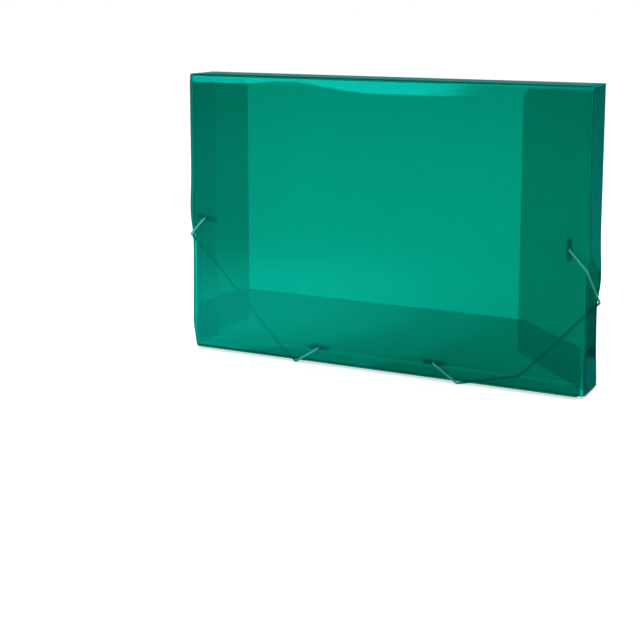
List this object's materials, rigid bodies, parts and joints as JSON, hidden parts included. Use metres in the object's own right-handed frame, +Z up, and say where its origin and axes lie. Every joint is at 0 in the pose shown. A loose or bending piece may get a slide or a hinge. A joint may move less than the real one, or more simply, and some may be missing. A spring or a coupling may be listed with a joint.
{
  "type": "box file",
  "caption": "Translucent plastic box file for A4 papers, with a hinged cover, inner flaps and elastic corner closures.",
  "frame": {"origin": "bottom centre: under the elastics that the standing box rests on, midway between its sides and midway between front and back", "axes": "+Z up, +X to the right as the cover is faced, +Y from the cover to the back"},
  "size_m": [0.3342, 0.0412, 0.2271],
  "materials": {
    "sheet": "smooth",
    "crease": "smooth",
    "elastic": "matte",
    "toggle": "smooth"
  },
  "bodies": {
    "tray": {"back_panel": "sheet", "fore_edge_wall": "sheet", "left_wall": "sheet", "right_wall": "sheet", "left_corner_tab": "sheet", "right_corner_tab": "sheet", "back_spine_crease": "crease", "left_flap_crease": "crease", "right_flap_crease": "crease", "fore_edge_flap_crease": "crease"},
    "spine": {"spine_panel": "sheet", "cover_spine_crease": "crease"},
    "cover": {"cover_panel": "sheet", "left_elastic": "elastic", "right_elastic": "elastic", "left_side_toggle": "toggle", "left_bottom_toggle": "toggle", "right_side_toggle": "toggle", "right_bottom_toggle": "toggle"},
    "left_flap": {"left_flap": "sheet"},
    "right_flap": {"right_flap": "sheet"},
    "fore_edge_flap": {"fore_edge_flap": "sheet"}
  },
  "joints": [
    {"name": "cover_fold", "type": "hinge", "parent": "spine", "child": "cover", "pos_m": [0, -0.0181, 0.2267], "axis": [-1, 0, 0], "range_deg": [0, 180], "deforming": ["left_elastic", "right_elastic"]},
    {"name": "spine_fold", "type": "hinge", "parent": "tray", "child": "spine", "pos_m": [0, 0.0181, 0.2267], "axis": [-1, 0, 0], "range_deg": [0, 180]},
    {"name": "fore_edge_flap_fold", "type": "hinge", "parent": "tray", "child": "fore_edge_flap", "pos_m": [0, -0.0154, 0.0025], "axis": [1, 0, 0], "range_deg": [0, 180]},
    {"name": "right_flap_fold", "type": "hinge", "parent": "tray", "child": "right_flap", "pos_m": [0.1646, -0.0143, 0.112], "axis": [0, 0, 1], "range_deg": [0, 90]},
    {"name": "left_flap_fold", "type": "hinge", "parent": "tray", "child": "left_flap", "pos_m": [-0.1646, -0.0143, 0.112], "axis": [0, 0, -1], "range_deg": [0, 90]}
  ],
  "couplings": [
    {"joint": "spine_fold", "follows": "cover_fold", "ratio": 1},
    {"joint": "fore_edge_flap_fold", "follows": "cover_fold", "ratio": 1},
    {"joint": "right_flap_fold", "follows": "cover_fold", "ratio": 0.5},
    {"joint": "left_flap_fold", "follows": "cover_fold", "ratio": 0.5}
  ]
}
